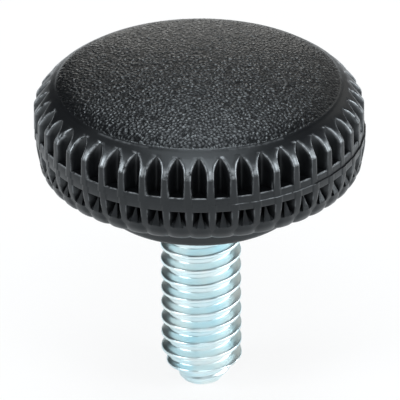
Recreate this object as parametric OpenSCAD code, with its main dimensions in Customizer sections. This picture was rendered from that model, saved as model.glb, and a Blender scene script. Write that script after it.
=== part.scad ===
// Knurled knob with a threaded stud: one black moulded head with a ribbed grip,
// moulded round the anchor head of a zinc-plated steel stud.
// +Z runs up the stud's axis. The origin is the middle of the seat face, which is
// the flat underside of the boss. All sizes are in millimetres.

/* [Head] */
// Diameter over the grip ribs
head_d = 25.4; // [22:0.1:32]
// Height of the moulded head, from the seat face to the top of the crown
head_h = 11.75; // [10.8:0.05:13]
// Radius of the shallow crown across the top
crown_r = 42; // [32:1:80]
// Radius of the shoulder that joins the crown to the grip
shoulder_r = 5.1; // [4.4:0.1:5.6]

/* [Grip] */
// Height of the middle of the grip above the seat face
grip_z = 6.15; // [5.6:0.05:6.6]
// Rise of the shoulder's outer corner above the middle of the grip
corner_rise = 2.15; // [1.6:0.05:2.6]
// Number of ribs, with as many pockets above and below the web
rib_count = 45; // [36:1:54]
// Width of one rib's face
rib_w = 0.64; // [0.4:0.02:0.9]
// Height of the web that divides the upper pockets from the lower ones
web_h = 1.2; // [0.6:0.05:2]
// Depth of the pockets, from the rib faces to the narrow strip at the back
pocket_depth = 1.1; // [0.7:0.05:1.3]
// Radius of a pocket's curved flanks, which close in towards the back strip
flank_r = 1.33; // [1.25:0.01:2.4]
// Draft of the flanks, which open away from the web, in degrees
draft = 2; // [0.5:0.25:3]
// Drop of the full depth below the web in the lower pockets, down to their ramp
ramp_drop = 0.75; // [0.4:0.05:1]
// Slope of the ramp that closes the lower pockets below, from upright, in degrees
ramp_angle = 48; // [40:1:60]

/* [Underside] */
// Radius of the curve that draws the lower ribs in towards the underside
lower_r = 4.7; // [4:0.1:8]
// Drop of the straight rib faces below the middle of the grip
straight_drop = 0.4; // [0:0.05:0.6]
// Radius of the lower outside corner
lower_corner_r = 0.7; // [0.3:0.05:1]
// Diameter of the boss round the stud
boss_d = 15.5; // [13:0.1:18]
// Height of the boss, from the seat face to the underside of the grip
boss_h = 2.9; // [2:0.05:3.4]
// Radius of the boss's lower edge
boss_edge_r = 0.4; // [0.1:0.05:0.8]
// Gap between the thread's crests and the mouth of the countersink round the stud
mouth_gap = 0.4; // [0.2:0.05:0.8]
// Depth of the countersink
mouth_depth = 0.5; // [0.3:0.05:0.8]

/* [Stud] */
// Major diameter of the thread, over the crests
thread_d = 6.2; // [5:0.05:7]
// Pitch of the thread
pitch = 1.27; // [0.8:0.01:1.6]
// Length of the stud below the seat face
stud_len = 15.3; // [8:0.1:50]
// Diameter of the flat end of the stud
tip_d = 3; // [2:0.1:4]
// Length of the chamfer that leads to the flat end
tip_len = 2; // [1:0.1:3]

/* [Anchor] */
// Diameter of the plain shank inside the head
shank_d = 5.5; // [4:0.1:5.8]
// Depth of the plain shank, from the seat face to the anchor head
shank_depth = 2.5; // [1.5:0.1:3.5]
// Width of the hexagonal anchor head across its flats
anchor_af = 9.5; // [8:0.1:12]
// Height of the hexagonal anchor head
anchor_h = 4; // [2.5:0.1:5]

/* [Hidden] */

head_rad = head_d / 2;
round_fn = 2 * rib_count;   // two facets to a rib, so that every pocket is alike
profile_fn = 28;            // facets of the profile's small arcs
crown_fn = 72;              // facets of the crown's long arc
flank_fn = 20;
stud_fn = 24;
past = 0.5;                 // how far a cut runs past the face it opens

// The shoulder's arc is tangent to the crown's inside it, and passes through the
// outer corner: its centre is where two circles about those points cross.
corner_z = grip_z + corner_rise;
crown_z = head_h - crown_r;
to_corner = norm([head_rad, corner_z - crown_z]);
crown_reach = crown_r - shoulder_r;
along = (crown_reach ^ 2 - shoulder_r ^ 2 + to_corner ^ 2) / (2 * to_corner);
aside = sqrt(crown_reach ^ 2 - along ^ 2);
corner_dir = [head_rad, corner_z - crown_z] / to_corner;
shoulder_c = [0, crown_z] + along * corner_dir + aside * [-corner_dir[1], corner_dir[0]];
// Where the two arcs meet, on the line through both centres
join = [0, crown_z] + crown_r * (shoulder_c - [0, crown_z]) / crown_reach;

// The lower curve starts level, and the corner arc is tangent to it and to the
// flat underside.
lower_c = [head_rad - lower_r, grip_z - straight_drop];
lower_corner_z = boss_h + lower_corner_r;
lower_reach = lower_r - lower_corner_r;
lower_corner_x = lower_c[0] + sqrt(lower_reach ^ 2 - (lower_c[1] - lower_corner_z) ^ 2);
lower_join = lower_c + lower_r * ([lower_corner_x, lower_corner_z] - lower_c) / lower_reach;

// Pockets
rib_pitch = 360 / rib_count;
pocket_w = 2 * head_rad * sin(rib_pitch / 2) - rib_w;
pocket_x = head_rad - pocket_depth;
upper_h = corner_rise - web_h / 2 + head_h - corner_z;
lower_h = grip_z - web_h / 2;

// Unified inch thread form: 60 degree flanks, crest flats of an eighth of a pitch
// and root flats of a quarter
crest_w = pitch / 8;
root_w = pitch / 4;
thread_depth = (pitch - crest_w - root_w) / 2 / tan(30);
flank_h = (pitch - crest_w - root_w) / 2;
thread_rad = thread_d / 2;
root_rad = thread_rad - thread_depth;
turns = ceil((stud_len + mouth_depth) / pitch);

// A block of the half plane, from the axis out to w
module band(w, z0, z1) {
    translate([0, z0]) square([w, z1 - z0]);
}

// Half profile of the crown, the shoulder and the grip, ribs and all
module upper_profile() {
    intersection() {
        band(join[0], corner_z - shoulder_r, head_h + past);
        translate([0, crown_z]) circle(r = crown_r, $fn = crown_fn);
    }
    intersection() {
        translate([join[0], corner_z - corner_rise])
            square([head_rad - join[0], head_h - grip_z]);
        translate(shoulder_c) circle(r = shoulder_r, $fn = profile_fn);
    }
    band(head_rad, grip_z - straight_drop, corner_z);
}

// Half profile from the straight rib faces down to the flat underside
module lower_profile() {
    band(lower_corner_x, boss_h, lower_c[1]);
    intersection() {
        band(head_rad, lower_join[1], lower_c[1]);
        translate(lower_c) circle(r = lower_r, $fn = profile_fn);
    }
    translate([lower_corner_x, lower_corner_z])
        circle(r = lower_corner_r, $fn = profile_fn);
}

// Half profile of the boss, with its lower edge rounded
module boss_profile() {
    edge_x = boss_d / 2 - boss_edge_r;
    band(edge_x, 0, boss_h + past);
    band(boss_d / 2, boss_edge_r, boss_h + past);
    translate([edge_x, boss_edge_r]) circle(r = boss_edge_r, $fn = profile_fn);
}

// One pocket above the web's face at z = 0, on the +X side: two leaning cylinders
// cross in a pointed arch in plan, and its point is cut off by the back strip
module pocket(h) {
    intersection() {
        intersection_for (side = [-1, 1])
            translate([head_rad, side * (pocket_w / 2 - flank_r), 0])
                rotate([-side * draft, 0, 0])
                    translate([0, 0, -past])
                        cylinder(r = flank_r, h = h + 2 * past, $fn = flank_fn);
        translate([pocket_x, -pocket_w, 0])
            cube([pocket_depth + past, 2 * pocket_w, h]);
    }
}

// The same pocket with a ramp that runs out to the rim and closes it
module ramped_pocket(h) {
    intersection() {
        pocket(h);
        translate([pocket_x, -pocket_w, ramp_drop])
            rotate([0, ramp_angle, 0])
                translate([0, 0, -2 * h])
                    cube([2 * h, 2 * pocket_w, 4 * h]);
    }
}

module grip_pockets() {
    for (i = [0 : rib_count - 1])
        rotate([0, 0, i * rib_pitch - 90]) {
            translate([0, 0, grip_z + web_h / 2]) pocket(upper_h);
            translate([0, 0, grip_z - web_h / 2]) mirror([0, 0, 1]) ramped_pocket(lower_h);
        }
}

// The part of the stud that the head is moulded round, and so the head's cavity
module anchor() {
    translate([0, 0, mouth_depth])
        cylinder(d = shank_d, h = shank_depth - mouth_depth, $fn = stud_fn);
    translate([0, 0, shank_depth])
        cylinder(d = anchor_af / cos(30), h = anchor_h, $fn = 6);
}

// The countersink that keeps the seat face clear of the thread
module stud_mouth() {
    mouth_slope = (thread_rad + mouth_gap - shank_d / 2) / mouth_depth;
    translate([0, 0, -past])
        cylinder(
            r1 = thread_rad + mouth_gap + past * mouth_slope,
            r2 = shank_d / 2,
            h = mouth_depth + past,
            $fn = stud_fn);
}

// Half profile of one ridge of the thread, its top at z = 0
module ridge() {
    polygon([
        [0, 0], [root_rad, 0],
        [root_rad, -root_w / 2],
        [thread_rad, -root_w / 2 - flank_h],
        [thread_rad, -root_w / 2 - flank_h - crest_w],
        [root_rad, -pitch + root_w / 2],
        [root_rad, -pitch], [0, -pitch]]);
}

// Half profile of the thread, up to the bottom of the countersink, with its end
// cut to a cone
module thread_profile() {
    intersection() {
        for (i = [0 : turns - 1])
            translate([0, mouth_depth - i * pitch]) ridge();
        polygon([
            [0, mouth_depth], [thread_rad + past, mouth_depth],
            [thread_rad + past, tip_len - stud_len],
            [thread_rad, tip_len - stud_len],
            [tip_d / 2, -stud_len], [0, -stud_len]]);
    }
}

module knob_head() {
    color([0.16, 0.17, 0.18])
        difference() {
            rotate_extrude($fn = round_fn) {
                upper_profile();
                lower_profile();
                boss_profile();
            }
            grip_pockets();
            anchor();
            stud_mouth();
        }
}

module threaded_stud() {
    color([0.75, 0.82, 0.86])
        union() {
            rotate_extrude($fn = stud_fn) thread_profile();
            anchor();
        }
}

knob_head();
threaded_stud();
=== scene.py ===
"""The knurled knob dressed for its portrait: a black moulded head with a grained crown and a
ribbed grip, and a bright zinc-plated stud with its right-hand thread.

Sizes are in millimetres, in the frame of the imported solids, and become metres only when a
mesh, a lamp or the camera is made. Azimuths run from -Y, where the middle of a grip pocket
lies, towards +X.
"""
import math

import bmesh
import bpy
import numpy as np
from mathutils import Matrix, Vector


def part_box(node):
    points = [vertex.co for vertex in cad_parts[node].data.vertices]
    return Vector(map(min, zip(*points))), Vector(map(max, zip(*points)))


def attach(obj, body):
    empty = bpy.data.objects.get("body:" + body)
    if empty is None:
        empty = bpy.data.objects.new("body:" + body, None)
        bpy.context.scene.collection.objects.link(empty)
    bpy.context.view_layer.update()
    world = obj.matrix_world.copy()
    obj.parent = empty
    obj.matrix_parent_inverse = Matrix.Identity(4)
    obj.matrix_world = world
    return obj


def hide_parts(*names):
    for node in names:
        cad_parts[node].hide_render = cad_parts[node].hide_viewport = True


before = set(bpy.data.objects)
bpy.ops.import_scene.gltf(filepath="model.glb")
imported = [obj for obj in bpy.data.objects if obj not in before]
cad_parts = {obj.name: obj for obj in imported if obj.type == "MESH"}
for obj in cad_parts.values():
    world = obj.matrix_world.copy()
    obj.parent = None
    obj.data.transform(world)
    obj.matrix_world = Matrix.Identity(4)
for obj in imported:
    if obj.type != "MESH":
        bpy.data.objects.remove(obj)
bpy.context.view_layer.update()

MM = 0.001


def corners(node):
    """A node's lowest and highest corners, in millimetres."""
    low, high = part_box(node)
    return np.array(low) / MM, np.array(high) / MM


HEAD_HIGH = corners("knob_head")[1]
STUD_LOW, STUD_HIGH = corners("threaded_stud")

# The head, as moulded. Its upper mould half lies MISMATCH to -X of the axis and its lower
# half as far to +X, which leaves a fine ledge round the web.
MISMATCH = 0.06
HEAD_R = HEAD_HIGH[0] - MISMATCH
TOP_Z = HEAD_HIGH[2]
CROWN_R = 42.0             # radius of the crown's arc
SHOULDER_R = 5.1           # and of the shoulder's
GRIP_Z = 6.15              # height of the middle of the web
CORNER_Z = GRIP_Z + 2.15   # height of the corner between the shoulder and the grip
CORNER_ROUND = 0.16        # rounding of that corner, along the profile
RIBS = 45
RIB_W = 0.64
WEB_H = 1.2
WEB_SETBACK = 0.04         # how far the web's face lies behind the rib faces
WEB_EDGE = 0.1             # rounding of the web's edges
POCKET_DEPTH = 1.1
FLANK_R = 1.33             # radius of the pockets' curved flanks
FLANK_GAP = 0.004          # what is left between a flank and the middle at a ridge's foot
DRAFT = math.tan(math.radians(2.0))
RIB_EDGE = 0.13            # rounding of the pockets' long edges, and the most of their
EDGE_SHARE = 0.45          # depth that it takes up
RIDGE_TOP = GRIP_Z - 0.75  # where a ridge starts up the middle of the lower pockets' backs,
RAMP_TOP = GRIP_Z - 1.45   # where the sides of the backs start to come forward too,
RAMP_END = GRIP_Z - 2.0    # and where both have run out onto the pillows
RIDGE_W = (0.03, 0.3)      # half a ridge's width at its top and at its foot
NO_RIDGE = 0.001           # how far a back stands out where there is none
SEAM_W = 0.05              # how far the seam's rubbed grey line, with its painted highlight, fades above and below it
PILLOW = 0.3               # rise of the pillows between the ribs, in 1/mm
PILLOW_FULL = GRIP_Z - 2.6  # where the pillows have closed over the ribs
STRAIGHT_Z = GRIP_Z - 0.4  # where the rim starts to curve in below the grip
LOWER_R = 4.7              # radius of that curve
LOWER_CORNER_R = 0.7       # and of the corner between it and the underside
UNDERSIDE_Z = 2.9
BOSS_R = 7.75
BOSS_EDGE_R = 0.4
BOSS_FOOT = 0.15           # the small hollow corner where the boss meets the underside
# Small knocks in the grip: each one's azimuth in degrees, height, reach and depth
NICKS = ((-58.2, 8.85, 0.42, 0.3), (-57.3, 9.55, 0.25, 0.1), (17.5, 6.45, 0.3, 0.05))

# The crown's grain
GRAIN_R = 10.9             # radius of the grained part of the crown
GRAIN_PITCH = 0.3          # mean spacing of its grains
GRAIN_H = 0.053            # their height
GRAIN_STEP = 0.04          # how far the smooth band lies below the grain's tops
GRAIN_WAY = (0.83, 0.56)   # the way its lines of grains run,
GRAIN_WAVE = 0.12          # how far they wave from side to side,
GRAIN_WAVES = (2.3, 2.7)   # and how fast, in radians to the millimetre
LIP_W = 0.13               # width of the raised lip round the grain, its inner slope
LIP_SLOPE = 0.08           # and its height as a share of the grains'
LIP_SHARE = 0.9
SHAKE = 0.022              # how far the disc's points stray from their rings

# Where the head's edges are rubbed grey with painted highlights: from where to where each
# such place grows, and from where to where it fades
LIP_WEAR_AND_HIGHLIGHT = (14, 24, 32, 46)               # degrees round from the front, to both sides
SEAM_WEAR_AND_HIGHLIGHT = (8.6, 22.6, 39.4, 53.4)       # degrees round, on the right
SHOULDER_WEAR_AND_HIGHLIGHT = (-0.35, 0.15, 0.45, 0.95)  # above the corner

# The stud and what holds it in the head
THREAD_R = 3.1             # radius over the crests
THREAD_DEPTH = 0.66
PITCH = 1.27
CREST_AT = -0.86           # height of a crest at azimuth 0
CREST_W = 0.2              # width of a crest, and height of the flank beside it
FLANK_H = 0.36
FLANK_EDGE = 0.03          # rounding of a flank at both its ends
TIP_R = 1.5                # radius of the stud's end, and length of the point above it
TIP_LEN = 2.0
SHANK_R = 2.75
MOUTH_Z = 0.5              # depth and radius of the countersink in the boss
MOUTH_R = THREAD_R + 0.4
SHANK_TOP = 2.5
ANCHOR_AF = 9.5            # the anchor's width across its flats
ANCHOR_TOP = STUD_HIGH[2]

# The meshes: points this near are one, sides this short are dropped, and edges sharper
# than this many degrees stay crisp
MERGE = 0.0008
SLIVER = 0.0004
HEAD_CREASE = 42
STUD_CREASE = 50

# Colours, roughness and bump
BLACK_DEEP = (0.0054, 0.0057, 0.0065, 1)    # the plastic drifts between these two,
BLACK_PALE = (0.0072, 0.0076, 0.0083, 1)
BLACK_PAINTED_SHADE = (0.0036, 0.0038, 0.0043, 1)  # is given painted shade between grains and in pockets,
BLACK_WEAR_AND_HIGHLIGHT = (0.33, 0.34, 0.35, 1)          # and is rubbed grey along its edges, which also paints their highlights
PLASTIC_IOR = 1.5
PLASTIC_TINT = (0.92, 0.97, 1.0, 1)         # of its gloss
SATIN = (0.30, 0.36)       # roughness of the grip, from place to place
GRAIN_ROUGH = (0.38, 0.24)  # in the creases and on the grains
GRAIN_GLOSS = (0.12, 1.0)  # specular level in the creases and on the grains
GRAIN_BUMP = 0.03          # depth of the finest grain, of the mould's marks on plastic
PLASTIC_BUMP = 0.012       # and of the plating's unevenness
ZINC_BUMP = 0.02
BAND_GLOSS = 0.54          # specular level of the smooth band and the boss
GRIP_GLOSS = 0.41          # of the grip's faces
RECESS_GLOSS = 0.17        # and deep in the pockets
EDGE_GLOSS = 1.0           # specular level and roughness of the burnished edges
EDGE_ROUGH = 0.22
ZINC_BLUE = (0.68, 0.90, 0.96, 1)
ZINC_PALE = (0.92, 0.97, 0.95, 1)
ZINC_ROUGH = (0.30, 0.40)  # on the blue and on the pale

# The camera, which looks down at the knob from in front
CAMERA_AZIMUTH = math.radians(0.2)
CAMERA_ELEVATION = math.radians(27.95)
CAMERA_ROLL = math.radians(-0.45)
CAMERA_DISTANCE = 978.0    # from the grip's middle
CAMERA_SEES = (0.1, 10)    # nearest and farthest, in metres
PICTURE = 400              # the picture's side, in pixels
PX_PER_MM = 13.07          # at the grip's middle
GRIP_AT = (199.9, 129.0)   # where the grip's middle shows in the picture
SENSOR = 36.0              # width of the camera's sensor

# The studio: each lamp's name, azimuth and elevation in degrees, size in metres, radiance
# and tint
LAMP_AWAY = 1.2            # in metres
COOL, WARM = (0.90, 0.96, 1.0), (1.0, 0.98, 0.93)
LAMPS = (
    ("side_left", -68, 31, 0.5, 8.5, COOL),
    ("side_right", 66, 30, 0.5, 6.8, COOL),
    ("low_right", 95, 10, 0.5, 6.8, COOL),
    ("front_right", 35, 30, 0.5, 1.0, COOL),
    ("front_high", 0, 58, 0.5, 6.8, COOL),
    ("front_low", 0, 18, 0.7, 0.8, COOL),
    ("overhead", 0, 90, 0.7, 2.1, COOL),
    ("behind_high", 180, 60, 0.5, 4.7, COOL),
    ("behind_low", -179, 10, 0.45, 1.6, WARM),
    ("behind_right", 150, 24, 0.6, 0.6, WARM),
)
ROOM_LEVEL = 0.02          # brightness of the room behind the lamps
FLOOR_HALF = 3.0           # half the floor's side, in metres
FLOOR_BELOW = 0.05         # how far it lies below the stud's end
FLOOR_COLOUR = (0.9, 0.9, 0.9, 1)
FLOOR_GLOW = 0.85          # share of the floor's white that shadows don't reach, as the
FLOOR_MIRRORED = 0.33      # camera sees it, and as the knob mirrors it


# ---------------------------------------------------------------- meshes

def make_piece(name, points, blocks, sharp, values=None):
    """A closed piece from an (n, 3) array of points in millimetres and blocks of faces,
    each block an (m, k) array of point numbers. Points that coincide are merged, faces
    that have closed up are dropped, and edges sharper than sharp degrees stay crisp.
    values maps the names of point attributes to arrays of one number a point."""
    mesh = bpy.data.meshes.new(name)
    mesh.vertices.add(len(points))
    mesh.vertices.foreach_set("co", (points * MM).astype(np.float32).ravel())
    mesh.loops.add(sum(b.size for b in blocks))
    mesh.polygons.add(sum(len(b) for b in blocks))
    mesh.loops.foreach_set("vertex_index",
                           np.concatenate([b.ravel() for b in blocks]).astype(np.int32))
    totals = np.concatenate([np.full(len(b), b.shape[1]) for b in blocks])
    starts = np.concatenate([[0], np.cumsum(totals)[:-1]])
    mesh.polygons.foreach_set("loop_start", starts.astype(np.int32))
    mesh.update(calc_edges=True)
    for key, value in (values or {}).items():
        mesh.attributes.new(key, "FLOAT", "POINT").data.foreach_set(
            "value", value.astype(np.float32))
    bm = bmesh.new()
    bm.from_mesh(mesh)
    bmesh.ops.remove_doubles(bm, verts=bm.verts, dist=MERGE * MM)
    bmesh.ops.dissolve_degenerate(bm, edges=bm.edges, dist=SLIVER * MM)
    bmesh.ops.recalc_face_normals(bm, faces=bm.faces)
    bm.to_mesh(mesh)
    bm.free()
    mesh.shade_smooth()
    mesh.set_sharp_from_angle(angle=math.radians(sharp))
    piece = bpy.data.objects.new(name, mesh)
    bpy.context.scene.collection.objects.link(piece)
    return piece


def strips(first, rows, columns):
    """Quads that join each of a run of closed rows of points to the next one below it.
    first is the number of the top row's first point."""
    i = first + np.arange(rows - 1)[:, None] * columns
    j = np.arange(columns)
    k = (j + 1) % columns
    return np.stack([i + j, i + columns + j, i + columns + k, i + k], -1).reshape(-1, 4)


def on_circle(r, azimuth, z):
    """Points at radius r and azimuth in radians, at height z, as an (n, 3) array."""
    r, azimuth, z = np.broadcast_arrays(r, azimuth, z)
    return np.stack([r * np.sin(azimuth), -r * np.cos(azimuth), z], -1)


def ease(t):
    """0 below 0, 1 above 1, and a smooth rise between them."""
    t = np.clip(t, 0, 1)
    return t * t * (3 - 2 * t)


def rubbed(x, grows, full, fades, none):
    """0 below grows, 1 from full to fades and 0 above none, with smooth slopes between."""
    return ease((x - grows) / (full - grows)) * ease((none - x) / (none - fades))


# ---------------------------------------------------------------- the head's profile

CROWN_Z = TOP_Z - CROWN_R


def shoulder_centre():
    """Radius and height of the centre of the shoulder's arc, which is tangent to the
    crown's arc and passes through the outer corner: one corner of the triangle with the
    crown's centre and the outer corner, whose three sides are known."""
    crown = np.array([0, CROWN_Z])
    corner = np.array([HEAD_R, CORNER_Z])
    reach = CROWN_R - SHOULDER_R
    away = math.hypot(*(corner - crown))
    way = (corner - crown) / away
    along = (reach ** 2 - SHOULDER_R ** 2 + away ** 2) / (2 * away)
    aside = math.sqrt(reach ** 2 - along ** 2)
    return crown + along * way + aside * np.array([-way[1], way[0]])


# The arcs of the crown and the shoulder meet at JOIN_R, and the lower curve and its
# corner at LOWER_JOIN_Z.
SHOULDER_C = shoulder_centre()
JOIN_R = CROWN_R * SHOULDER_C[0] / (CROWN_R - SHOULDER_R)
LOWER_C = np.array([HEAD_R - LOWER_R, STRAIGHT_Z])
LOWER_CORNER_Z = UNDERSIDE_Z + LOWER_CORNER_R
LOWER_CORNER_X = LOWER_C[0] + math.sqrt((LOWER_R - LOWER_CORNER_R) ** 2
                                        - (LOWER_C[1] - LOWER_CORNER_Z) ** 2)
LOWER_JOIN_Z = LOWER_C[1] + LOWER_R * (LOWER_CORNER_Z - LOWER_C[1]) / (
    LOWER_R - LOWER_CORNER_R)


def crown_height(r):
    """Height of the crown and the shoulder at radius r: the crown's arc inside JOIN_R and
    the shoulder's outside it."""
    r = np.asarray(r, float)
    crown = CROWN_Z + np.sqrt(CROWN_R ** 2 - np.minimum(r, JOIN_R) ** 2)
    out = np.clip(r - SHOULDER_C[0], 0, SHOULDER_R)
    shoulder = SHOULDER_C[1] + np.sqrt(SHOULDER_R ** 2 - out ** 2)
    return np.where(r < JOIN_R, crown, shoulder)


def rim_radius(z):
    """Radius over the ribs at height z: the shoulder's arc above the outer corner, with
    the corner rounded, upright faces round the grip, then the lower curve and its corner."""
    upper = SHOULDER_C[0] + math.sqrt(max(SHOULDER_R ** 2 - (z - SHOULDER_C[1]) ** 2, 0))
    if z >= CORNER_Z - CORNER_ROUND:
        # a smooth minimum of the upright face and the shoulder's arc
        k = CORNER_ROUND * 0.5
        h = min(max(0.5 + 0.5 * (HEAD_R - upper) / k, 0), 1)
        return HEAD_R * (1 - h) + upper * h - k * h * (1 - h)
    if z >= STRAIGHT_Z:
        return HEAD_R
    if z >= LOWER_JOIN_Z:
        return LOWER_C[0] + math.sqrt(LOWER_R ** 2 - (z - LOWER_C[1]) ** 2)
    return LOWER_CORNER_X + math.sqrt(
        max(LOWER_CORNER_R ** 2 - (z - LOWER_CORNER_Z) ** 2, 0))


# ---------------------------------------------------------------- one pitch of the grip

HALF_PITCH = math.pi / RIBS
MOUTH = HEAD_R * math.sin(HALF_PITCH) - RIB_W / 2     # half the width of a pocket's mouth
BACK_X = HEAD_R - POCKET_DEPTH
COLUMNS = 18               # points of a row in one pitch, from rib to rib


def flank(x, rise):
    """Half the width of a pocket at x along its middle line: an arc of FLANK_R that is
    square to the rim at the mouth, and that opens with its rise from the web."""
    d = np.clip(HEAD_R - x, 0, FLANK_R)
    return np.sqrt(FLANK_R ** 2 - d ** 2) - (FLANK_R - MOUTH - DRAFT * rise)


def mirrored(radial, across):
    """A row's half pitch, from the rib's middle to the pocket's, made whole: radii and
    azimuths of its COLUMNS points from coordinates along and across the pocket's line."""
    x = np.concatenate([radial, radial[-2:0:-1]])
    t = np.concatenate([-across, across[-2:0:-1]])
    return np.hypot(x, t), np.arctan2(t, x)


def pocket_row(z, rise, back, ridge=0.0, spread=0.2):
    """A row through the pockets: along the rib's face, round its edge by a quadratic
    curve, down the flank and across the back. back is the x of the back where it meets
    the flanks, ridge is how far its middle stands out from there, and spread is half
    the width of the ridge's face."""
    rim = rim_radius(z)
    x_end = back
    if float(flank(back, rise)) < 0:
        # the flanks meet before they reach the back
        x_end = max(x_end, HEAD_R - math.sqrt(
            FLANK_R ** 2 - (FLANK_R - MOUTH - DRAFT * rise) ** 2))
    x_mouth = rim
    for _ in range(6):
        x_mouth = math.sqrt(rim ** 2 - float(flank(x_mouth, rise)) ** 2)
    x_end = min(x_end, x_mouth)
    depth = x_mouth - x_end
    f = min(RIB_EDGE, EDGE_SHARE * depth)
    w_mouth = float(flank(x_mouth, rise))
    a_mouth = math.atan2(w_mouth, x_mouth)
    a_start = a_mouth + f / rim
    start = rim * np.array([math.cos(a_start), math.sin(a_start)])
    x_in = x_mouth - f
    end = np.array([x_in, float(flank(x_in, rise))])
    turn = 0.25 * start + 0.5 * np.array([x_mouth, w_mouth]) + 0.25 * end
    a_mid = 0.5 * (a_start + HALF_PITCH)
    if ridge:
        xs = x_in + (x_end - x_in) * np.array([0.5, 1.0, 1.0, 1.0, 1.0])
        xs += ridge * np.array([0, 0, 0.1, 0.95, 1])
        # the flanks stay a hair apart at the ridge's foot, or its two sides would touch
        ws = np.maximum(flank(xs, rise), FLANK_GAP)
        ws[2:] = min(0.7 * spread, 0.9 * ws[2]), min(spread, 0.85 * ws[3]), 0
    else:
        xs = x_in + (x_end - x_in) * np.array([0.3, 0.6, 0.85, 1.0, 1.0])
        ws = np.maximum(flank(xs, rise), 0) * np.array([1, 1, 1, 1, 0])
    radial = np.concatenate([
        [rim * math.cos(HALF_PITCH), rim * math.cos(a_mid), start[0], turn[0], end[0]], xs])
    across = np.concatenate([
        [rim * math.sin(HALF_PITCH), rim * math.sin(a_mid), start[1], turn[1], end[1]], ws])
    return mirrored(radial, across)


def web_row(web, pocket, joined=False):
    """A row round the web: the ribs' faces at HEAD_R and the web's at radius web. The
    points at the ribs' edges keep their azimuths from pocket, the pocket row next to it,
    and in a joined row their radii too."""
    r, a = pocket[0].copy(), pocket[1].copy()
    across = slice(4, -3)
    a[across] = np.linspace(-1, 1, COLUMNS - 7) * a[-4]
    r[across] = web
    r[[3, -3]] = HEAD_R + (web - HEAD_R) * 0.3
    r[[0, 1, 2, -2, -1]] = HEAD_R
    if joined:
        edge = [3, 4, -4, -3]
        r[edge], a[edge] = pocket[0][edge], pocket[1][edge]
    return r, a


def pillow_row(z):
    """A row round the lower rim, where pillows stand out of the rim between the ribs, by
    PILLOW times the square of their half width. They fall away with the cube of the
    distance from their middle, and widen down to PILLOW_FULL, until they meet in a notch
    at the middle of each rib."""
    rim = rim_radius(z)
    half = HALF_PITCH * rim
    grown = ease((RAMP_END - z) / (RAMP_END - PILLOW_FULL))
    edge = MOUTH + (half - MOUTH) * grown
    t = np.concatenate([
        half + (edge - half) * np.array([0, 0.4, 0.7, 0.9]), edge * np.linspace(1, 0, 6)])
    r = rim + PILLOW * np.maximum(edge ** 2 - t ** 3 / edge, 0)
    a = t / rim
    return mirrored(r * np.cos(a), r * np.sin(a))


def whole_row(r, a, z, shift):
    """All the pitches of a row, its centre shifted along X."""
    middles = 2 * HALF_PITCH * np.arange(RIBS)
    azimuth = (middles[:, None] + a[None, :]).ravel()
    points = on_circle(np.tile(r, RIBS), azimuth, z)
    points[:, 0] += shift
    return points


def depth_of(points):
    """How deep in a pocket each of a row's points stands: 0 down to 0.2 mm below the rim,
    and 1 from 0.8 mm on."""
    rim = max(rim_radius(points[0, 2]), HEAD_R - 1.2)
    return ease((rim - 0.2 - np.hypot(points[:, 0], points[:, 1])) / 0.6)


def nicked(points):
    """The points with the grip's NICKS pressed in towards the axis: a nick's depth falls
    with the square of what is left of 1 after the squared distance over its reach."""
    for azimuth, z, reach, depth in NICKS:
        spot = on_circle(rim_radius(z), math.radians(azimuth), z)
        near = np.clip(1 - np.sum((points - spot) ** 2, 1) / reach ** 2, 0, 1) ** 2
        r = np.hypot(points[:, 0], points[:, 1])
        points[:, :2] *= (1 - depth * near / np.maximum(r, 1))[:, None]
    return points


# ---------------------------------------------------------------- the grained crown

def grain_height(x, y):
    """Height of the crown's leather grain, from 0 in its creases to 1 on its grains. The
    plane, turned and gently waved, is cut into cells round scattered seeds, one to each
    square of GRAIN_PITCH. A point's height rises with the difference between its distances
    to the two nearest seeds, and falls a little away from its own, which has a height of
    its own too."""
    rng = np.random.default_rng(11)
    n = int(2.1 * GRAIN_R / GRAIN_PITCH) + 8
    seed = rng.random((n, n, 3))
    along = GRAIN_WAY[0] * x + GRAIN_WAY[1] * y
    across = GRAIN_WAY[0] * y - GRAIN_WAY[1] * x
    u = (along + GRAIN_WAVE * np.sin(GRAIN_WAVES[0] * across + 1)) / GRAIN_PITCH + n / 2
    v = (across + GRAIN_WAVE * np.sin(GRAIN_WAVES[1] * along)) / GRAIN_PITCH + n / 2
    iu, iv = np.floor(u).astype(int), np.floor(v).astype(int)
    near = np.full(x.shape, 9.0)
    second = np.full(x.shape, 9.0)
    tall = np.zeros(x.shape)
    for du in (-1, 0, 1):
        for dv in (-1, 0, 1):
            cu, cv = np.clip(iu + du, 0, n - 1), np.clip(iv + dv, 0, n - 1)
            s = seed[cu, cv]
            d = np.hypot(cu + s[..., 0] - u, cv + s[..., 1] - v)
            closer = d < near
            second = np.where(closer, near, np.minimum(second, d))
            tall = np.where(closer, s[..., 2], tall)
            near = np.where(closer, d, near)
    dome = ease((second - near) / 0.5) * (1 - 0.35 * np.clip(near / 0.7, 0, 1) ** 2)
    return dome * (0.55 + 0.45 * tall)


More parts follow.
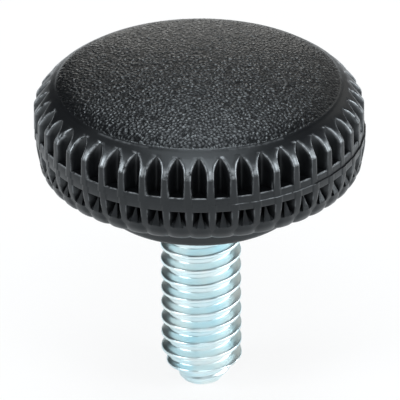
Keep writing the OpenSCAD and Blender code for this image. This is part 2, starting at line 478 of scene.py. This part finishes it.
def grained_disc():
    """The crown inside GRAIN_R: rings of 6, 12, 18 ... points round one middle point, so
    that the points stand evenly, each lowered from the crown by what its grain lacks of
    GRAIN_H. The grain ends at a raised lip. Returns the points, the middle one first, the
    triangles and the grain."""
    rings = RIBS * COLUMNS // 6
    ring = np.repeat(np.arange(1, rings + 1), 6 * np.arange(1, rings + 1))
    first = 1 + 3 * ring * (ring - 1)
    place = np.arange(1, 1 + len(ring)) - first
    azimuth = 2 * math.pi * place / (6 * ring) - HALF_PITCH
    r = GRAIN_R * ring / rings
    flat = on_circle(r, azimuth, 0.0)
    flat = np.vstack([[0, 0, 0], flat])
    r = np.concatenate([[0], r])
    shake = np.random.default_rng(5).uniform(-SHAKE, SHAKE, (len(flat), 2))
    flat[:, :2] += shake * (r < GRAIN_R - 0.05)[:, None]
    r = np.hypot(flat[:, 0], flat[:, 1])
    grain = grain_height(flat[:, 0], flat[:, 1])
    lip = ease((r - GRAIN_R + LIP_W) / LIP_SLOPE)
    grain = np.maximum(grain, LIP_SHARE * lip)
    points = flat.copy()
    lean = np.minimum(r, JOIN_R) / CROWN_R
    sink = GRAIN_H * (1 - grain)
    points[:, 2] = crown_height(r) - sink * np.sqrt(1 - lean ** 2)
    points[:, 0] -= MISMATCH
    # triangles: each of a ring's points with the next one and the ring inside it
    sector, step = place // ring, place % ring
    outer = first + place
    outer_next = first + (place + 1) % (6 * ring)
    inside = ring - 1
    first_in = np.where(inside > 0, 1 + 3 * inside * (inside - 1), 0)
    around = np.maximum(6 * inside, 1)
    inner = first_in + (sector * inside + step) % around
    inner_next = first_in + (sector * inside + step + 1) % around
    one = np.stack([outer, outer_next, inner], -1)
    two = np.stack([outer_next, inner_next, inner], -1)[step < inside]
    return points, np.vstack([one, two]), grain


# ---------------------------------------------------------------- the head

def head_rows():
    """The rows of points round the head, from the smooth band down to the underside. Each
    point comes with two marks: how far it is rubbed grey with painted highlights on an edge,
    and how much painted shade it gets deep in a pocket."""
    rows, edges, depths = [], [], []

    def put(row, z, shift, mark, dark=None, side=1.0):
        """Adds a row at height z. mark says how far each of its points is rubbed grey with
        painted highlights on an edge, as far as side allows, and dark how much painted shade it
        gets deep in a pocket, if not by depth_of."""
        rows.append(whole_row(*row, z, shift))
        edges.append(np.tile(mark, RIBS) * side)
        depths.append(depth_of(rows[-1]) if dark is None else np.tile(dark, RIBS))

    # what each point of a pitch is marked with, from the middle of one rib to the next: how far
    # it is rubbed grey with painted highlights, and in foot how much painted shade it gets
    smooth = np.zeros(COLUMNS)
    rib_mark, pocket_mark, web_mark, foot = (smooth.copy() for _ in range(4))
    rib_mark[[0, 1, 2, -2, -1]] = (0.8, 0.8, 0.5, 0.5, 0.8)
    pocket_mark[[2, 3, 4, -4, -3, -2]] = (0.2, 1, 0.5, 0.5, 1, 0.2)
    web_mark[4:-3] = 1.0
    foot[[6, 7, -7, -6]] = 1.0
    # how far round from the front each point stands, in degrees
    turned = np.degrees(np.repeat(2 * HALF_PITCH * np.arange(RIBS), COLUMNS) + HALF_PITCH)
    turned = (turned + 180) % 360 - 180
    lip_side = rubbed(np.abs(turned), *LIP_WEAR_AND_HIGHLIGHT)
    seam_side = rubbed(turned, *SEAM_WEAR_AND_HIGHLIGHT)

    # the smooth band, whose points move from even steps to those of the pockets' tips
    web_top, web_low = GRIP_Z + WEB_H / 2, GRIP_Z - WEB_H / 2
    tip_z = float(crown_height(BACK_X))
    even = np.linspace(-HALF_PITCH, HALF_PITCH, COLUMNS, endpoint=False)
    tip = pocket_row(tip_z, tip_z - web_top, BACK_X)[1]
    # the lip round the grain is rubbed grey with a painted highlight, towards both sides of the
    # front
    for out, share in ((0.05, 0), (0.25, 0), (0.45, 0.5)):
        r = GRAIN_R + out
        low = GRAIN_STEP * (1 - ease((r - GRAIN_R - 0.1) / 0.5))
        put((np.full(COLUMNS, r), even + (tip - even) * share),
            float(crown_height(r)) - low, -MISMATCH, smooth + 0.6 * (out < 0.1),
            side=lip_side)

    # the shoulder and the grip down to the web, with the upper pockets
    heights = np.concatenate([
        tip_z - np.array([0, 0.03, 0.08]),
        np.linspace(tip_z - 0.15, CORNER_Z + CORNER_ROUND, 10),
        CORNER_Z + CORNER_ROUND * np.array([0.5, 0.0, -0.5, -1.0]),
        [7.5, web_top]])
    for z in heights:
        row = pocket_row(z, z - web_top, BACK_X)
        on_shoulder = z >= CORNER_Z
        # the pockets' edges, and the ribs' tops just above the corner, are rubbed grey with
        # painted highlights
        wear_and_highlight = rib_mark * rubbed(z - CORNER_Z, *SHOULDER_WEAR_AND_HIGHLIGHT) * on_shoulder
        put(row, z, -MISMATCH,
            np.maximum(pocket_mark * (1.0 if on_shoulder else 0.5), wear_and_highlight))

    # the web, with the mould seam round its middle, where the rows change their shift
    web_r = HEAD_R - WEB_SETBACK
    # the web's edges are rubbed grey with painted highlights, and its top just inside them gets
    # painted shade
    for drop, inset in ((0.0, 1.8), (0.0, 1.0), (0.3, 0.3), (1.0, 0.0)):
        edge = web_row(web_r - inset * WEB_EDGE, row, drop == 0)
        put(edge, web_top - drop * WEB_EDGE, -MISMATCH, web_mark * (inset <= 1) * (1 - drop),
            web_mark * (inset > 1))
    put(edge, GRIP_Z + SEAM_W, -MISMATCH, smooth)
    # the seam is rubbed grey with a painted highlight on the right
    put(edge, GRIP_Z, -MISMATCH, smooth + 0.9, side=seam_side)
    row = pocket_row(web_low, 0.0, BACK_X, NO_RIDGE)
    edge = web_row(web_r, row)
    put(edge, GRIP_Z, MISMATCH, smooth + 0.9, side=seam_side)
    put(edge, GRIP_Z - SEAM_W, MISMATCH, smooth)
    for drop, inset in ((1.0, 0.0), (0.3, 0.3), (0.0, 1.0)):
        edge = web_row(web_r - inset * WEB_EDGE, row, drop == 0)
        put(edge, web_low + drop * WEB_EDGE, MISMATCH, 0.3 * web_mark * (1 - drop))

    # the lower pockets, with a ridge up the middle of each back, then the ramp out of them
    out = rim_radius(RAMP_END) - BACK_X
    for z in np.concatenate([[web_low], np.linspace(RIDGE_TOP, RAMP_TOP, 4)[:-1],
                             np.linspace(RAMP_TOP, RAMP_END + 0.02, 6)]):
        back = BACK_X + out * max(RAMP_TOP - z, 0) / (RAMP_TOP - RAMP_END)
        down = (RIDGE_TOP - z) / (RIDGE_TOP - RAMP_END)
        middle = BACK_X + (out + PILLOW * MOUTH ** 2) * (0.55 + 0.45 * down) * (z < web_low)
        spread = RIDGE_W[0] + (RIDGE_W[1] - RIDGE_W[0]) * max(down, 0)
        row = pocket_row(z, web_low - z, back, max(middle - back, NO_RIDGE), spread)
        # foot paints shade into the grooves at the ridges' feet
        put(row, z, MISMATCH, 0.5 * pocket_mark * (z > RAMP_TOP), foot)
        if z <= RAMP_TOP:
            foot[[5, 6, 7, -7, -6, -5]] = 0.4

    # the pillows, and the corner between the lower curve and the underside
    turn = np.radians([12, 24, 36, 54, 72, 90])
    for z in np.concatenate([np.linspace(RAMP_END - 0.02, PILLOW_FULL + 0.1, 4),
                             LOWER_CORNER_Z - LOWER_CORNER_R * np.sin(turn)]):
        put(pillow_row(z), z, MISMATCH, smooth)
    return rows, np.concatenate(edges), np.concatenate(depths)


def underside(last, base):
    """The points and the faces below the grip and in the head, on columns that meet the
    anchor's corners: the flat underside, the boss, the seat, the countersink, the cavity
    and its lid. last and base are the numbers of the grip's last row's first point and of
    the first point here."""
    columns = 90
    azimuth = np.radians(2 + 4 * np.arange(columns))
    hexagon = ANCHOR_AF / 2 / np.cos((azimuth - math.pi / 2) % (math.pi / 3) - math.pi / 6)
    rings = [(LOWER_CORNER_X - 0.5, UNDERSIDE_Z), (BOSS_R + BOSS_FOOT, UNDERSIDE_Z),
             (BOSS_R + 0.04, UNDERSIDE_Z - 0.04), (BOSS_R, UNDERSIDE_Z - BOSS_FOOT)]
    rings += [(BOSS_R - BOSS_EDGE_R * (1 - math.cos(b)), BOSS_EDGE_R * (1 - math.sin(b)))
              for b in np.radians([0, 30, 60, 90])]
    rings += [(MOUTH_R, 0), (SHANK_R, MOUTH_Z), (SHANK_R, SHANK_TOP),
              (hexagon, SHANK_TOP), (hexagon, ANCHOR_TOP)]
    points = [on_circle(r, azimuth, z) for r, z in rings]
    # each step of these columns meets 9 steps of the grip's last row in a face of 12
    # corners: the first, from 2 to 6 degrees round, meets the row's points 13 to 22
    j = np.arange(columns)[:, None]
    outer = last + (9 * j + 22 - np.arange(10)[None, :]) % (RIBS * COLUMNS)
    top = base + (len(rings) - 1) * columns
    return points, [np.concatenate([base + j, base + (j + 1) % columns, outer], 1),
                    strips(base, len(rings), columns),
                    (top + np.arange(columns))[None, :]]


def build_head():
    """The moulded head, one closed skin. From the top: the grained disc, the smooth band,
    rows down the shoulder and the grip with its pockets, web and pillows, the flat
    underside, the boss, the seat, the countersink and the cavity round the anchor."""
    disc, faces, disc_grain = grained_disc()
    rows, edges, depths = head_rows()
    around = RIBS * COLUMNS
    rim = len(disc) - around
    base = len(disc) + len(rows) * around
    lower, lower_faces = underside(base - around, base)
    points = nicked(np.vstack([disc] + rows + lower))
    marks = {key: np.zeros(len(points)) for key in ("grain", "crown", "pocket_shade", "edge")}
    marks["grain"][:len(disc)] = disc_grain
    marks["crown"][:rim] = 1.0
    marks["pocket_shade"][len(disc):base] = depths
    marks["edge"][len(disc):base] = edges
    return make_piece("moulded_head", points,
                      [faces, strips(rim, len(rows) + 1, around)] + lower_faces,
                      HEAD_CREASE, marks)


# ---------------------------------------------------------------- the stud

def thread_radius(azimuth, z):
    """Radius of the stud's thread: crests on a right-hand helix of one PITCH a turn, 60
    degree flanks with their edges rounded, drawn in to TIP_R over the last TIP_LEN, where
    the grooves grow shallow, and run out into the plain shank at the top."""
    phase = (z - CREST_AT - PITCH * azimuth / (2 * math.pi)) / PITCH
    off = np.abs(phase - np.round(phase)) * PITCH
    groove = ease((off - CREST_W / 2 + FLANK_EDGE) / (FLANK_H + 2 * FLANK_EDGE))
    along = np.clip((z - STUD_LOW[2]) / TIP_LEN, 0, 1)
    crest = TIP_R + (THREAD_R - TIP_R) * along
    r = crest - THREAD_DEPTH * groove * (0.15 + 0.85 * along) * ease(along * 8)
    return r + (SHANK_R - r) * ease((z - 0.15) / (MOUTH_Z - 0.15))


def build_stud():
    """The steel stud, one closed skin: a grid that leans with the thread, so that each row
    climbs one PITCH round the stud and runs on into the row a turn above, its ends pressed
    flat at the tip and at the shank, then the shank, the hexagonal anchor and the lid."""
    turn_rows, columns = 24, 96
    low, high = STUD_LOW[2], MOUTH_Z
    rows = int(math.ceil((high - low) / PITCH * turn_rows)) + 2 * turn_rows + 1
    azimuth = 2 * math.pi * np.arange(columns) / columns
    z = (high + PITCH - PITCH * np.arange(rows)[:, None] / turn_rows
         + PITCH * azimuth[None, :] / (2 * math.pi))
    z = np.clip(z, low, high)
    r = thread_radius(azimuth[None, :], z)
    grid = on_circle(r, azimuth[None, :], z).reshape(-1, 3)
    i = np.arange(rows - 1)[:, None] * columns
    j = np.arange(columns - 1)[None, :]
    faces = [np.stack([i + j, i + columns + j, i + columns + j + 1, i + j + 1],
                      -1).reshape(-1, 4)]
    # the last column of a row meets the first column a turn higher up
    i = np.arange(turn_rows, rows - 1) * columns
    up = i - turn_rows * columns
    faces.append(np.stack([i + columns - 1, i + 2 * columns - 1, up + columns, up], -1))
    base = rows * columns
    hexagon = ANCHOR_AF / 2 / np.cos((azimuth - math.pi / 2) % (math.pi / 3) - math.pi / 6)
    upper = [on_circle(hexagon, azimuth, ANCHOR_TOP), on_circle(hexagon, azimuth, SHANK_TOP),
             on_circle(SHANK_R, azimuth, SHANK_TOP), on_circle(SHANK_R, azimuth, MOUTH_Z)]
    faces.append(strips(base, 4, columns))
    faces.append((base + np.arange(columns))[None, ::-1])
    tip = base + 4 * columns
    end = on_circle(TIP_R, azimuth, low)
    faces.append((tip + np.arange(columns))[None, :])
    points = np.vstack([grid] + upper + [end])
    return make_piece("plated_stud", points, faces, STUD_CREASE)


# ---------------------------------------------------------------- materials

def add(tree, kind, inputs=None, **settings):
    """A node of a kind, with its settings made and its inputs set or linked."""
    node = tree.nodes.new(kind)
    for key, value in settings.items():
        setattr(node, key, value)
    for key, value in (inputs or {}).items():
        if isinstance(value, bpy.types.NodeSocket):
            tree.links.new(value, node.inputs[key])
        else:
            node.inputs[key].default_value = value
    return node


def maths(tree, operation, *values, clamp=False):
    """The result of a sum, a product or another operation on values or sockets."""
    return add(tree, "ShaderNodeMath", dict(enumerate(values)), operation=operation,
               use_clamp=clamp).outputs[0]


def between(tree, low, high, share):
    """A value that runs from low to high with the share."""
    return add(tree, "ShaderNodeMapRange", {
        "Value": share, "To Min": low, "To Max": high}).outputs[0]


def blend(tree, first, second, share):
    """A colour that runs from the first to the second with the share."""
    mix = add(tree, "ShaderNodeMix", data_type="RGBA")
    for socket, value in zip((mix.inputs[0], mix.inputs[6], mix.inputs[7]),
                             (share, first, second)):
        if isinstance(value, bpy.types.NodeSocket):
            tree.links.new(value, socket)
        else:
            socket.default_value = value
    return mix.outputs[2]


def group(name, inputs, outputs):
    """A new node group with named value inputs and outputs beside its Position input."""
    tree = bpy.data.node_groups.new(name, "ShaderNodeTree")
    tree.interface.new_socket("Position", in_out="INPUT", socket_type="NodeSocketVector")
    for key, value in inputs.items():
        socket = tree.interface.new_socket(key, in_out="INPUT", socket_type="NodeSocketFloat")
        socket.default_value = value
    for key in outputs:
        tree.interface.new_socket(key, in_out="OUTPUT", socket_type="NodeSocketFloat")
    return tree, tree.nodes.new("NodeGroupInput"), tree.nodes.new("NodeGroupOutput")


def make_leather():
    """Fine grains between creases, for the crown: cells of a wandering lattice, each domed,
    with a finer roughness on top. Position is in millimetres and so is Pitch."""
    tree, given, put = group("leather_grain", {"Pitch": 0.28}, ["Height"])
    stretch = add(tree, "ShaderNodeVectorMath", {
        0: given.outputs["Position"]}, operation="DIVIDE")
    tree.links.new(add(tree, "ShaderNodeCombineXYZ", {
        i: given.outputs["Pitch"] for i in range(3)}).outputs[0], stretch.inputs[1])
    wander = add(tree, "ShaderNodeTexNoise", {
        "Vector": stretch.outputs[0], "Scale": 0.9, "Detail": 2.0})
    moved = add(tree, "ShaderNodeVectorMath", {
        0: wander.outputs["Color"], 1: (0.8, 0.8, 0.8), 2: stretch.outputs[0]},
        operation="MULTIPLY_ADD")
    cells = add(tree, "ShaderNodeTexVoronoi", {
        "Vector": moved.outputs[0], "Scale": 1.0, "Randomness": 1.0, "Smoothness": 0.35},
        feature="SMOOTH_F1")
    fine = add(tree, "ShaderNodeTexNoise", {
        "Vector": stretch.outputs[0], "Scale": 2.6, "Detail": 3.0})
    dome = maths(tree, "SUBTRACT", 1.0, cells.outputs["Distance"], clamp=True)
    tree.links.new(maths(tree, "MULTIPLY_ADD", fine.outputs["Fac"], 0.55, dome),
                   put.inputs["Height"])
    return tree


def make_moulding():
    """The slow and fine unevenness that a mould leaves on plastic: a soft wave and a fine
    roughness in Height, a slow drift between 0 and 1 in Shade, and in the third output the
    patches where edges are rubbed grey with painted highlights."""
    tree, given, put = group("moulding_marks", {"Scale": 1.0}, ["Height", "Shade", "WearAndHighlight"])
    slow = add(tree, "ShaderNodeTexNoise", {
        "Vector": given.outputs["Position"], "Scale": 0.35, "Detail": 3.0})
    wave = add(tree, "ShaderNodeTexNoise", {
        "Vector": given.outputs["Position"], "Scale": 1.6, "Detail": 2.0})
    fine = add(tree, "ShaderNodeTexNoise", {
        "Vector": given.outputs["Position"], "Detail": 2.0})
    tree.links.new(maths(tree, "MULTIPLY", given.outputs["Scale"], 9.0),
                   fine.inputs["Scale"])
    tree.links.new(maths(tree, "MULTIPLY_ADD", fine.outputs["Fac"], 0.35,
                         wave.outputs["Fac"]), put.inputs["Height"])
    tree.links.new(add(tree, "ShaderNodeMapRange", {
        "Value": slow.outputs["Fac"], "From Min": 0.3, "From Max": 0.7}).outputs[0],
        put.inputs["Shade"])
    patches = add(tree, "ShaderNodeTexNoise", {
        "Vector": given.outputs["Position"], "Scale": 2.4, "Detail": 3.0})
    tree.links.new(add(tree, "ShaderNodeMapRange", {
        "Value": patches.outputs["Fac"], "From Min": 0.32, "From Max": 0.58}).outputs[0],
        put.inputs["WearAndHighlight"])
    return tree


def start_material(name):
    """A new material, its tree, its shader, and the piece's own position in millimetres."""
    material = bpy.data.materials.new(name)
    material.use_nodes = True
    tree = material.node_tree
    where = add(tree, "ShaderNodeVectorMath", {
        0: add(tree, "ShaderNodeTexCoord").outputs["Object"], "Scale": 1 / MM},
        operation="SCALE")
    return material, tree, tree.nodes["Principled BSDF"], where.outputs[0]


def black_plastic(leather, moulding):
    """Black moulded plastic: satin on the grip, with painted shade that makes it darker and
    duller deep in the pockets, a leather grain on the crown, whose creases get painted shade,
    a little darker and duller, and edges that are burnished and, in patches, rubbed grey
    with painted highlights."""
    material, tree, shader, where = start_material("black_moulded_plastic")
    marks = tree.nodes.new("ShaderNodeGroup")
    marks.node_tree = moulding
    tree.links.new(where, marks.inputs["Position"])
    grain = tree.nodes.new("ShaderNodeGroup")
    grain.node_tree = leather
    tree.links.new(where, grain.inputs["Position"])
    crown = add(tree, "ShaderNodeAttribute", attribute_name="crown").outputs["Fac"]
    raised = add(tree, "ShaderNodeAttribute", attribute_name="grain").outputs["Fac"]
    shade = blend(tree, BLACK_DEEP, BLACK_PALE, marks.outputs["Shade"])
    # painted shade in the grain's creases
    crease = maths(tree, "MULTIPLY", crown, maths(tree, "SUBTRACT", 1.0, raised), clamp=True)
    shade = blend(tree, shade, BLACK_PAINTED_SHADE, crease)
    # painted shade deep in the pockets: darker here, and duller below
    pocket_shade = add(tree, "ShaderNodeAttribute", attribute_name="pocket_shade").outputs["Fac"]
    shade = blend(tree, shade, BLACK_PAINTED_SHADE, pocket_shade)
    # edges rubbed grey in patches, which also paints their highlights
    edge = add(tree, "ShaderNodeAttribute", attribute_name="edge").outputs["Fac"]
    wear_and_highlight = maths(tree, "MULTIPLY", maths(tree, "POWER", edge, 2.0), marks.outputs["WearAndHighlight"],
                 clamp=True)
    tree.links.new(blend(tree, shade, BLACK_WEAR_AND_HIGHLIGHT, wear_and_highlight), shader.inputs["Base Color"])
    tops = add(tree, "ShaderNodeMapRange", {
        "Value": raised, "From Min": 0.1, "From Max": 0.8}).outputs[0]
    # the smooth band above the grip and the boss below it are a little glossier
    height = add(tree, "ShaderNodeSeparateXYZ", {0: where}).outputs["Z"]
    above = add(tree, "ShaderNodeMapRange", {
        "Value": height, "From Min": CORNER_Z - 0.1, "From Max": CORNER_Z + 0.15}).outputs[0]
    below = add(tree, "ShaderNodeMapRange", {
        "Value": height, "From Min": UNDERSIDE_Z + 0.7, "From Max": UNDERSIDE_Z + 0.3}).outputs[0]
    outside = between(tree, GRIP_GLOSS, BAND_GLOSS, maths(tree, "MAXIMUM", above, below))
    gloss = between(tree, between(tree, outside, RECESS_GLOSS, pocket_shade),
                    between(tree, *GRAIN_GLOSS, tops), crown)
    tree.links.new(between(tree, gloss, EDGE_GLOSS, edge),
                   shader.inputs["Specular IOR Level"])
    rough = between(tree, between(tree, *SATIN, marks.outputs["Shade"]),
                    between(tree, *GRAIN_ROUGH, tops), crown)
    tree.links.new(between(tree, rough, EDGE_ROUGH, edge), shader.inputs["Roughness"])
    shader.inputs["IOR"].default_value = PLASTIC_IOR
    shader.inputs["Specular Tint"].default_value = PLASTIC_TINT
    fine = add(tree, "ShaderNodeBump", {
        "Height": marks.outputs["Height"], "Strength": 1.0, "Distance": PLASTIC_BUMP * MM})
    deep = add(tree, "ShaderNodeBump", {
        "Height": grain.outputs["Height"], "Strength": crown, "Distance": GRAIN_BUMP * MM,
        "Normal": fine.outputs[0]})
    tree.links.new(deep.outputs[0], shader.inputs["Normal"])
    return material


def zinc_plate(moulding):
    """Bright zinc plate on steel: a metal with a pale blue cast that drifts towards green
    and white, and a fine unevenness that softens what it mirrors."""
    material, tree, shader, where = start_material("bright_zinc_plate")
    marks = tree.nodes.new("ShaderNodeGroup")
    marks.node_tree = moulding
    tree.links.new(where, marks.inputs["Position"])
    tree.links.new(blend(tree, ZINC_BLUE, ZINC_PALE, marks.outputs["Shade"]),
                   shader.inputs["Base Color"])
    tree.links.new(between(tree, ZINC_ROUGH[0], ZINC_ROUGH[1], marks.outputs["Shade"]),
                   shader.inputs["Roughness"])
    shader.inputs["Metallic"].default_value = 1.0
    fine = add(tree, "ShaderNodeBump", {
        "Height": marks.outputs["Height"], "Strength": 1.0, "Distance": ZINC_BUMP * MM})
    tree.links.new(fine.outputs[0], shader.inputs["Normal"])
    return material


# ---------------------------------------------------------------- camera and stage

def aim_camera():
    """A long lens on the line of sight, set so that the grip's middle shows at GRIP_AT."""
    azimuth, elevation, roll = CAMERA_AZIMUTH, CAMERA_ELEVATION, CAMERA_ROLL
    back = Vector((math.sin(azimuth) * math.cos(elevation),
                   -math.cos(azimuth) * math.cos(elevation), math.sin(elevation)))
    right = Vector((math.cos(azimuth), math.sin(azimuth), 0))
    up = back.cross(right)
    right, up = (right * math.cos(roll) + up * math.sin(roll),
                 up * math.cos(roll) - right * math.sin(roll))
    off_right = (GRIP_AT[0] - PICTURE / 2) / PX_PER_MM
    off_up = (PICTURE / 2 - GRIP_AT[1]) / PX_PER_MM
    place = Vector((0, 0, GRIP_Z)) - off_right * right - off_up * up + CAMERA_DISTANCE * back
    data = bpy.data.cameras.new("camera")
    data.sensor_width = SENSOR
    data.lens = PX_PER_MM * CAMERA_DISTANCE / PICTURE * SENSOR
    data.clip_start, data.clip_end = CAMERA_SEES
    camera = bpy.data.objects.new("camera", data)
    turn = Matrix((right, up, back)).transposed().to_4x4()
    camera.matrix_world = Matrix.Translation(place * MM) @ turn
    bpy.context.scene.collection.objects.link(camera)
    bpy.context.scene.camera = camera


def lamp(name, azimuth, elevation, size, radiance, tint):
    """A square soft lamp LAMP_AWAY from the knob and facing it. radiance is its brightness
    as the knob sees it, where 1 is the white of the background, and tint is its colour."""
    a, e = math.radians(azimuth), math.radians(elevation)
    way = Vector((math.sin(a) * math.cos(e), -math.cos(a) * math.cos(e), math.sin(e)))
    data = bpy.data.lights.new(name, "AREA")
    data.shape = "SQUARE"
    data.size = size
    data.energy = radiance * math.pi * size ** 2
    data.color = tint
    light = bpy.data.objects.new(name, data)
    light.location = way * LAMP_AWAY
    light.rotation_euler = way.to_track_quat("Z", "Y").to_euler()
    bpy.context.scene.collection.objects.link(light)


def seen_directly(tree, straight, mirrored):
    """A share for what the camera sees straight or through glass, another for what it sees
    mirrored, and 0 for all other light."""
    path = add(tree, "ShaderNodeLightPath").outputs
    both = maths(tree, "MAXIMUM", path["Is Camera Ray"], path["Is Transmission Ray"])
    gloss = maths(tree, "MULTIPLY", path["Is Glossy Ray"], mirrored)
    return maths(tree, "MAXIMUM", maths(tree, "MULTIPLY", both, straight), gloss)


def set_stage():
    """A dim studio round a white floor that keeps a share of the knob's soft shadow."""
    bpy.context.scene.view_settings.view_transform = "Standard"
    world = bpy.data.worlds.new("studio")
    bpy.context.scene.world = world
    world.use_nodes = True
    room = world.node_tree.nodes["Background"]
    room.inputs["Color"].default_value = (1, 1, 1, 1)
    room.inputs["Strength"].default_value = ROOM_LEVEL

    mesh = bpy.data.meshes.new("floor")
    s, z = FLOOR_HALF, (STUD_LOW[2] - FLOOR_BELOW) * MM
    mesh.from_pydata([(-s, -s, z), (s, -s, z), (s, s, z), (-s, s, z)], [], [(0, 1, 2, 3)])
    floor = bpy.data.objects.new("floor", mesh)
    bpy.context.scene.collection.objects.link(floor)
    material, tree, shader, _ = start_material("white_floor")
    shader.inputs["Base Color"].default_value = FLOOR_COLOUR
    shader.inputs["Roughness"].default_value = 1.0
    shader.inputs["Specular IOR Level"].default_value = 0.0
    glow = add(tree, "ShaderNodeEmission", {"Color": (1, 1, 1, 1), "Strength": 1.0})
    share = seen_directly(tree, FLOOR_GLOW, FLOOR_MIRRORED)
    mix = add(tree, "ShaderNodeMixShader", {
        0: share, 1: shader.outputs[0], 2: glow.outputs[0]})
    tree.links.new(mix.outputs[0], tree.nodes["Material Output"].inputs[0])
    mesh.materials.append(material)
    for row in LAMPS:
        lamp(*row)


aim_camera()
set_stage()
leather, moulding = make_leather(), make_moulding()
looks = {"knob_head": black_plastic(leather, moulding), "threaded_stud": zinc_plate(moulding)}
for piece, node, slot in ((build_head(), "knob_head", "head_plastic"),
                          (build_stud(), "threaded_stud", "plated_steel")):
    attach(piece, "root")
    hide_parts(node)
    piece.data.materials.append(looks[node])
    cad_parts[node].data.materials.clear()
    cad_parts[node].data.materials.append(looks[node])
